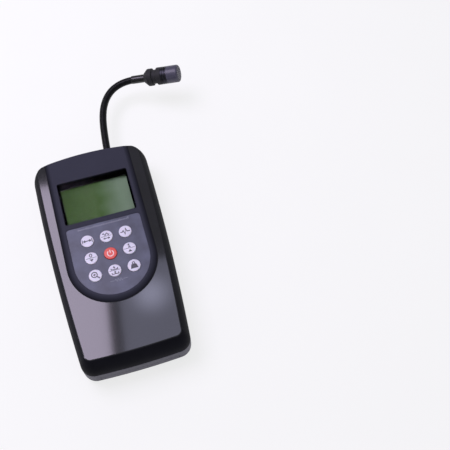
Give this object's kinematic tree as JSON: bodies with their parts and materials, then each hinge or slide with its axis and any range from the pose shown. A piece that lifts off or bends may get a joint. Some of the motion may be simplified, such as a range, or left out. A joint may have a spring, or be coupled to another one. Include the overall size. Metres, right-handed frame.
{
  "type": "belt tension tester",
  "caption": "Hand-held sonic belt tension tester: two-shell meter with a display window, round keys and a microphone on a flexible neck.",
  "frame": {"origin": "middle of the flat back face of the housing", "axes": "+X to the right of someone reading the display, +Y along the housing towards the neck end, +Z out of the front"},
  "size_m": [0.0995, 0.1759, 0.0283],
  "materials": {
    "front_plastic": "charcoal ABS with a soft gloss",
    "rear_plastic": "charcoal ABS with a fine grain",
    "plated_steel": "nickel-plated steel",
    "cell_wrap": "plain printed wrap on a steel can",
    "clear_window": "clear acrylic",
    "black_plastic": "moulded black",
    "display": "green display glass",
    "light_guide": "milky acrylic",
    "contact_rubber": "layered silicone",
    "circuit_board": "solder-masked laminate",
    "chip_plastic": "moulded epoxy",
    "socket_plastic": "moulded nylon",
    "black_rubber": "matt black rubber",
    "key_sheet": "fine-grained polyester sheet, slate grey",
    "pale_key": "pale moulded key",
    "red_key": "red moulded key",
    "dome_rubber": "translucent silicone",
    "black_steel": "black-finished steel",
    "sleeve_plastic": "glossy shrunk sleeve",
    "black_aluminium": "black anodised, turned",
    "capsule_metal": "drawn can",
    "foam": "open foam",
    "grey_cap": "grey satin coat on a perforated cap"
  },
  "bodies": {
    "housing": {"front_shell": "front_plastic", "rear_shell": "rear_plastic", "case_screws": "plated_steel", "cells": "cell_wrap", "cell_springs": "plated_steel", "cell_caps": "plated_steel", "display_lens": "clear_window", "display_frame": "black_plastic", "display_glass": "display", "light_guide": "light_guide", "contact_strips": "contact_rubber", "main_board": "circuit_board", "board_screws": "plated_steel", "controller_chip": "chip_plastic", "amplifier_chips": "chip_plastic", "board_socket": "socket_plastic", "lead": "black_rubber", "key_sheet": "key_sheet", "neck_bush": "black_steel", "bush_nut": "plated_steel", "dome_top_left": "dome_rubber", "dome_top_mid": "dome_rubber", "dome_top_right": "dome_rubber", "dome_mid_left": "dome_rubber", "dome_power": "dome_rubber", "dome_mid_right": "dome_rubber", "dome_low_left": "dome_rubber", "dome_low_mid": "dome_rubber", "dome_low_right": "dome_rubber"},
    "battery_cover": {"battery_cover": "rear_plastic"},
    "key_top_left": {"key_top_left": "pale_key"},
    "key_top_mid": {"key_top_mid": "pale_key"},
    "key_top_right": {"key_top_right": "pale_key"},
    "key_mid_left": {"key_mid_left": "pale_key"},
    "key_power": {"key_power": "red_key"},
    "key_mid_right": {"key_mid_right": "pale_key"},
    "key_low_left": {"key_low_left": "pale_key"},
    "key_low_mid": {"key_low_mid": "pale_key"},
    "key_low_right": {"key_low_right": "pale_key"},
    "neck_1": {"neck_link_1": "black_steel"},
    "neck_2": {"neck_link_2": "black_steel"},
    "neck_3": {"neck_link_3": "black_steel"},
    "neck_4": {"neck_link_4": "black_steel"},
    "neck_5": {"neck_link_5": "black_steel"},
    "neck_6": {"neck_link_6": "black_steel"},
    "neck_7": {"neck_link_7": "black_steel"},
    "neck_8": {"neck_link_8": "black_steel"},
    "neck_9": {"neck_link_9": "black_steel"},
    "mic_head": {"mic_stem": "black_steel", "sleeve": "sleeve_plastic", "mic_boot": "black_rubber", "mic_barrel": "black_aluminium", "mic_capsule": "capsule_metal", "mic_foam": "foam", "mic_cap": "grey_cap"}
  },
  "joints": [
    {"name": "press_top_left", "type": "slide", "parent": "housing", "child": "key_top_left", "axis": [0, 0, -1], "range_m": [0, 0.0005], "stiffness_N_per_m": 600, "springref_m": -0.0005, "deforming": ["dome_top_left"]},
    {"name": "press_top_mid", "type": "slide", "parent": "housing", "child": "key_top_mid", "axis": [0, 0, -1], "range_m": [0, 0.0005], "stiffness_N_per_m": 600, "springref_m": -0.0005, "deforming": ["dome_top_mid"]},
    {"name": "press_top_right", "type": "slide", "parent": "housing", "child": "key_top_right", "axis": [0, 0, -1], "range_m": [0, 0.0005], "stiffness_N_per_m": 600, "springref_m": -0.0005, "deforming": ["dome_top_right"]},
    {"name": "press_mid_left", "type": "slide", "parent": "housing", "child": "key_mid_left", "axis": [0, 0, -1], "range_m": [0, 0.0005], "stiffness_N_per_m": 600, "springref_m": -0.0005, "deforming": ["dome_mid_left"]},
    {"name": "press_power", "type": "slide", "parent": "housing", "child": "key_power", "axis": [0, 0, -1], "range_m": [0, 0.0005], "stiffness_N_per_m": 600, "springref_m": -0.0005, "deforming": ["dome_power"]},
    {"name": "press_mid_right", "type": "slide", "parent": "housing", "child": "key_mid_right", "axis": [0, 0, -1], "range_m": [0, 0.0005], "stiffness_N_per_m": 600, "springref_m": -0.0005, "deforming": ["dome_mid_right"]},
    {"name": "press_low_left", "type": "slide", "parent": "housing", "child": "key_low_left", "axis": [0, 0, -1], "range_m": [0, 0.0005], "stiffness_N_per_m": 600, "springref_m": -0.0005, "deforming": ["dome_low_left"]},
    {"name": "press_low_mid", "type": "slide", "parent": "housing", "child": "key_low_mid", "axis": [0, 0, -1], "range_m": [0, 0.0005], "stiffness_N_per_m": 600, "springref_m": -0.0005, "deforming": ["dome_low_mid"]},
    {"name": "press_low_right", "type": "slide", "parent": "housing", "child": "key_low_right", "axis": [0, 0, -1], "range_m": [0, 0.0005], "stiffness_N_per_m": 600, "springref_m": -0.0005, "deforming": ["dome_low_right"]},
    {"name": "cover_slide", "type": "slide", "parent": "housing", "child": "battery_cover", "axis": [0, -1, 0], "range_m": [0, 0.062]},
    {"name": "neck_swing_1", "type": "hinge", "parent": "housing", "child": "neck_1", "pos_m": [0.012, 0.06603, 0.013], "axis": [0.0174, -0.0006, -0.9998], "range_deg": [-30, 12]},
    {"name": "neck_lift_1", "type": "hinge", "parent": "neck_1", "child": "neck_2", "pos_m": [0.01245, 0.07251, 0.013], "axis": [0.9966, -0.0828, 0], "range_deg": [-22, 22]},
    {"name": "neck_swing_2", "type": "hinge", "parent": "neck_2", "child": "neck_3", "pos_m": [0.01308, 0.07898, 0.013], "axis": [0.0174, -0.0018, -0.9998], "range_deg": [-30, 12]},
    {"name": "neck_lift_2", "type": "hinge", "parent": "neck_3", "child": "neck_4", "pos_m": [0.01381, 0.08544, 0.013], "axis": [0.989, -0.1478, 0], "range_deg": [-22, 22]},
    {"name": "neck_swing_3", "type": "hinge", "parent": "neck_4", "child": "neck_5", "pos_m": [0.015, 0.09183, 0.013], "axis": [0.017, -0.0041, -0.9998], "range_deg": [-30, 12]},
    {"name": "neck_lift_3", "type": "hinge", "parent": "neck_5", "child": "neck_6", "pos_m": [0.0169, 0.09805, 0.013], "axis": [0.9255, -0.3786, 0], "range_deg": [-22, 22]},
    {"name": "neck_swing_4", "type": "hinge", "parent": "neck_6", "child": "neck_7", "pos_m": [0.0199, 0.10381, 0.013], "axis": [0.0333, 0.0162, -0.9993], "range_deg": [-30, 8]},
    {"name": "neck_lift_4", "type": "hinge", "parent": "neck_7", "child": "neck_8", "pos_m": [0.02445, 0.10844, 0.01342], "axis": [0.5483, -0.8363, 0], "range_deg": [-22, 20]},
    {"name": "neck_swing_5", "type": "hinge", "parent": "neck_8", "child": "neck_9", "pos_m": [0.03046, 0.11075, 0.01427], "axis": [0.1636, 0.009, -0.9865], "range_deg": [-30, 6]},
    {"name": "neck_lift_5", "type": "hinge", "parent": "neck_9", "child": "mic_head", "pos_m": [0.03683, 0.11047, 0.01554], "axis": [-0.1822, -0.9833, 0], "range_deg": [-22, 20]}
  ]
}
